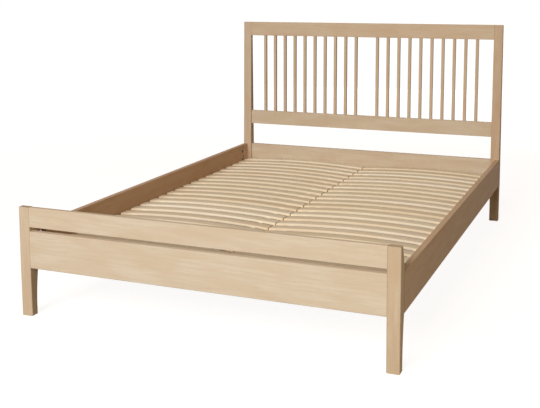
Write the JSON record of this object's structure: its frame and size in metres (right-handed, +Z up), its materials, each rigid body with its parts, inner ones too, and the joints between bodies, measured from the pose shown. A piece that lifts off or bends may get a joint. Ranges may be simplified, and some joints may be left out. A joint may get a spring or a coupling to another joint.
{
  "type": "spindle bed",
  "caption": "Wooden double bed frame with a spindle headboard, a low slotted footboard, tapered posts and bowed sprung slats.",
  "frame": {"origin": "on the floor under the middle of the bed's outer box", "axes": "+Z up, +Y towards the headboard, +X to the right as seen from the foot of the bed"},
  "size_m": [1.45, 2.12, 1.027],
  "materials": {
    "bed_wood": "pale oak, matt clear lacquer",
    "support_wood": "planed pine, unfinished",
    "slat_birch": "laminated birch, thin clear lacquer",
    "zinc_steel": "bright zinc plating",
    "slat_tape": "woven polyester tape, natural white"
  },
  "bodies": {
    "root": {"beam_hanger_foot": "zinc_steel", "beam_hanger_head": "zinc_steel", "bed_bolts": "zinc_steel", "bed_nuts": "zinc_steel", "centre_beam": "support_wood", "centre_leg": "support_wood", "foot_lower_rail": "bed_wood", "foot_post_left": "bed_wood", "foot_post_right": "bed_wood", "foot_top_rail": "bed_wood", "half_moon_washers": "zinc_steel", "head_lower_rail": "bed_wood", "head_mid_rail": "bed_wood", "head_post_left": "bed_wood", "head_post_right": "bed_wood", "head_top_rail": "bed_wood", "ledger_left": "support_wood", "ledger_right": "support_wood", "leg_bolt": "zinc_steel", "side_rail_left": "bed_wood", "side_rail_right": "bed_wood", "slat_rows_01_02": "slat_birch", "slat_rows_03_04": "slat_birch", "slat_rows_05_06": "slat_birch", "slat_rows_07_08": "slat_birch", "slat_rows_09_10": "slat_birch", "slat_rows_11_12": "slat_birch", "slat_rows_13_14": "slat_birch", "slat_rows_15_16": "slat_birch", "slat_rows_17_18": "slat_birch", "slat_rows_19_20": "slat_birch", "slat_rows_21_22": "slat_birch", "slat_rows_23_24": "slat_birch", "slat_tapes": "slat_tape", "spindle_01": "bed_wood", "spindle_02": "bed_wood", "spindle_03": "bed_wood", "spindle_04": "bed_wood", "spindle_05": "bed_wood", "spindle_06": "bed_wood", "spindle_07": "bed_wood", "spindle_08": "bed_wood", "spindle_09": "bed_wood", "spindle_10": "bed_wood", "spindle_11": "bed_wood", "spindle_12": "bed_wood", "spindle_13": "bed_wood", "spindle_14": "bed_wood", "spindle_15": "bed_wood", "spindle_16": "bed_wood", "spindle_17": "bed_wood", "spindle_18": "bed_wood", "spindle_19": "bed_wood", "spindle_20": "bed_wood"}
  },
  "joints": []
}
